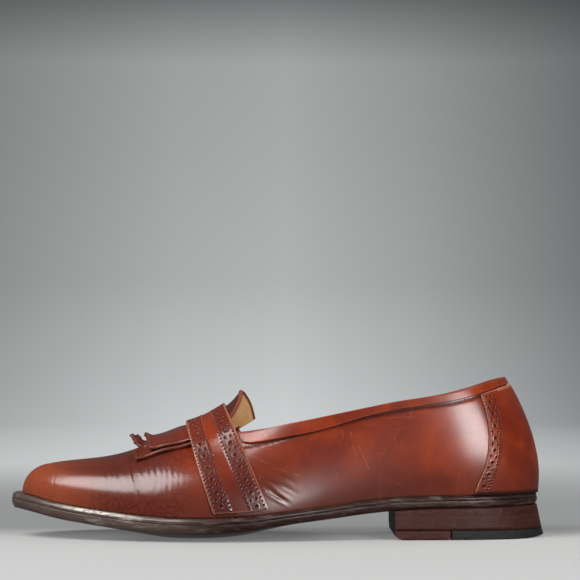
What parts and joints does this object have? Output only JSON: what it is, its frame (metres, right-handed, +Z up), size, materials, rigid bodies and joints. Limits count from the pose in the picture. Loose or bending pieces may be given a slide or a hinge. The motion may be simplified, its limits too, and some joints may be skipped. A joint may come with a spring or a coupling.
{
  "type": "kiltie loafer",
  "caption": "Leather slip-on shoe, left foot: low stacked heel, fringed kiltie flap under a punched strap, punched heel counter and a bound collar.",
  "frame": {"origin": "on the floor, under the middle of the shoe's length and width", "axes": "+Z up, -X towards the toe, +X towards the heel, -Y the outer (lateral) side, +Y the inner (medial) side"},
  "size_m": [0.305, 0.104, 0.0911],
  "materials": {
    "upper_leather": "polished chestnut calf, glossy",
    "strap_leather": "polished chestnut calf, punched",
    "kiltie_leather": "polished dark chestnut calf",
    "lining_leather": "natural tan, matt",
    "sole_leather": "dark burnished edge, worn",
    "welt_leather": "dark burnished, waxed",
    "heel_leather": "stacked layers, dark burnished",
    "heel_rubber": "black, matt"
  },
  "bodies": {
    "root": {"outsole": "sole_leather", "welt": "welt_leather", "insole": "lining_leather", "heel_stack": "heel_leather", "top_lift_leather": "heel_leather", "top_lift_rubber": "heel_rubber", "upper": "upper_leather", "counter": "upper_leather", "collar_band": "upper_leather", "strap": "strap_leather", "kiltie_lower": "kiltie_leather", "kiltie_short": "kiltie_leather", "tongue": "kiltie_leather"}
  },
  "joints": []
}
